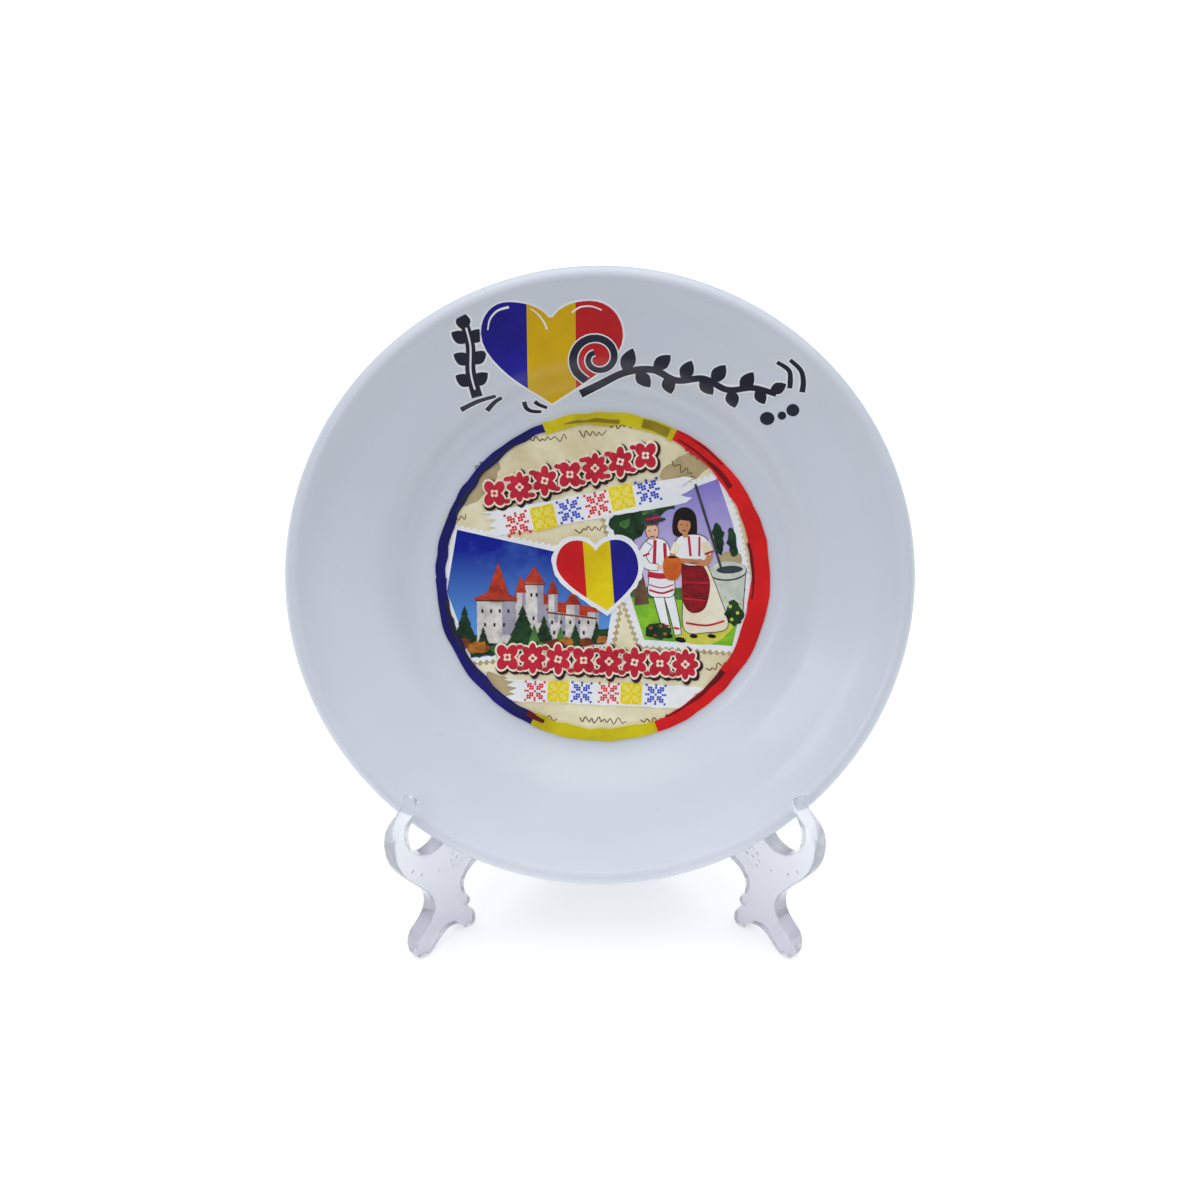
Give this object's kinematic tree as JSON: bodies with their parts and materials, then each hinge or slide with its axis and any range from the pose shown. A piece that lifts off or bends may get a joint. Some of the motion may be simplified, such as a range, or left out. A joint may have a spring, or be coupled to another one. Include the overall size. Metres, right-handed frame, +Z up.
{
  "type": "souvenir plate on folding stand",
  "caption": "Round glazed plate with a decorated centre and rim, leaning in a V-shaped folding stand of clear plastic that hinges flat.",
  "frame": {"origin": "on the table, under the middle of the whole object's box", "axes": "+X to the right of someone who looks at the plate's face, +Y towards the hinge at the back, +Z up; the face looks towards -Y"},
  "size_m": [0.15, 0.0662, 0.1647],
  "materials": {
    "glaze": "glossy white glaze",
    "centre_print": "multicoloured print fired on the glaze",
    "heart_print": "blue, yellow and red print fired on the glaze",
    "dark_ink": "dark blue print fired on the glaze",
    "clear_plastic": "clear moulded plastic"
  },
  "bodies": {
    "stand_left": {"left_wing": "clear_plastic"},
    "stand_right": {"right_wing": "clear_plastic"},
    "plate_body": {"plate": "glaze", "centre_transfer": "centre_print", "rim_heart_transfer": "heart_print", "rim_vine_transfer": "dark_ink", "rim_sprig_transfer": "dark_ink"}
  },
  "joints": [
    {"name": "plate_lift", "type": "slide", "parent": "stand_left", "child": "plate_body", "axis": [0, 0, 1], "range_m": [0, 0.15]},
    {"name": "stand_fold", "type": "hinge", "parent": "stand_left", "child": "stand_right", "pos_m": [0.0012, 0.02592, 0], "axis": [0, 0, -1], "range_deg": [0, 80]}
  ],
  "couplings": [
    {"joint": "stand_fold", "follows": "plate_lift", "rad_per_m": 9.3}
  ]
}
